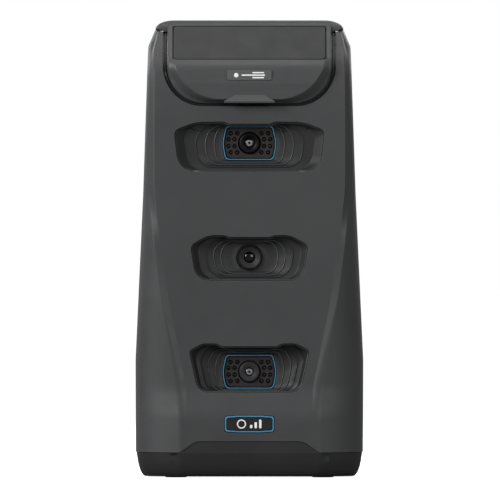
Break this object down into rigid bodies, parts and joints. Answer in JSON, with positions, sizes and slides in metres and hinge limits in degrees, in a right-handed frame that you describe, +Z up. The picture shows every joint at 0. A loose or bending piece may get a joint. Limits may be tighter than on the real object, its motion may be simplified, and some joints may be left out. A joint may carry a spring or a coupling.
{
  "type": "launch monitor",
  "caption": "Free-standing golf launch monitor: tapered charcoal tower with three recessed camera windows, infrared LED arrays, a hooded sloping top panel and a levelling foot.",
  "frame": {"origin": "middle of the footprint, on the plane that the rubber feet stand on", "axes": "+Z up the tower; the camera windows face -Y; +X to the right of someone looking at the camera windows"},
  "size_m": [0.1554, 0.124, 0.312],
  "materials": {
    "shell_plastic": "fine moulded texture, satin charcoal",
    "cap_plastic": "fine moulded texture, satin grey",
    "panel_gloss": "smooth satin panel",
    "plate_grey": "smooth grey plate",
    "light_blue": "translucent blue light guide",
    "black_plastic": "smooth black",
    "dark_plastic": "fine moulded texture, near black",
    "foot_rubber": "matt rubber",
    "lens_glass": "coated lens",
    "frame_aluminium": "milled",
    "circuit_board": "green solder mask",
    "antenna_film": "copper flex film",
    "indicator_white": "frosted light pipe",
    "steel_parts": "zinc plated or blackened steel"
  },
  "bodies": {
    "root": {"badge_plate": "black_plastic", "badge_ring": "light_blue", "base_plate": "dark_plastic", "base_screw_1": "steel_parts", "base_screw_2": "steel_parts", "base_screw_3": "steel_parts", "base_screw_4": "steel_parts", "base_skirt": "dark_plastic", "chassis_spine": "frame_aluminium", "dc_inlet": "black_plastic", "ethernet_jack": "steel_parts", "foot_front_left": "foot_rubber", "foot_front_right": "foot_rubber", "foot_rear_left": "foot_rubber", "foot_rear_right": "foot_rubber", "front_housing": "shell_plastic", "heat_sink": "frame_aluminium", "io_panel": "dark_plastic", "lower_led_board": "circuit_board", "lower_led_faceplate": "black_plastic", "lower_lens_barrel": "black_plastic", "lower_lens_glass": "lens_glass", "lower_light_ring": "light_blue", "lower_sensor_board": "circuit_board", "lower_window_bezel": "dark_plastic", "main_board": "circuit_board", "middle_lens_barrel": "black_plastic", "middle_lens_glass": "lens_glass", "middle_sensor_board": "circuit_board", "middle_window_bezel": "dark_plastic", "nameplate": "plate_grey", "power_board": "circuit_board", "rear_housing": "shell_plastic", "rear_screw_1": "steel_parts", "rear_screw_2": "steel_parts", "rear_screw_3": "steel_parts", "rear_screw_4": "steel_parts", "status_light": "indicator_white", "top_cap": "cap_plastic", "top_panel": "panel_gloss", "upper_led_board": "circuit_board", "upper_led_faceplate": "black_plastic", "upper_lens_barrel": "black_plastic", "upper_lens_glass": "lens_glass", "upper_light_ring": "light_blue", "upper_sensor_board": "circuit_board", "upper_window_bezel": "dark_plastic", "usb_c_port": "steel_parts", "wifi_antenna": "antenna_film"},
    "adjuster_wheel": {"levelling_wheel": "foot_rubber"},
    "adjuster_foot": {"levelling_foot": "steel_parts", "levelling_foot_pad": "foot_rubber"},
    "button": {"power_button": "dark_plastic"}
  },
  "joints": [
    {"name": "adjuster_turn", "type": "hinge", "parent": "root", "child": "adjuster_wheel", "pos_m": [0, 0.044, 0.0089], "axis": [0, 0, 1], "range_deg": [0, 1440]},
    {"name": "adjuster_extend", "type": "slide", "parent": "root", "child": "adjuster_foot", "axis": [0, 0, -1], "range_m": [0, 0.005]},
    {"name": "button_press", "type": "slide", "parent": "root", "child": "button", "axis": [0, -1, 0], "range_m": [0, 0.0012], "stiffness_N_per_m": 400, "springref_m": -0.0015}
  ],
  "couplings": [
    {"joint": "adjuster_turn", "follows": "adjuster_extend", "rad_per_m": 5026.5}
  ]
}
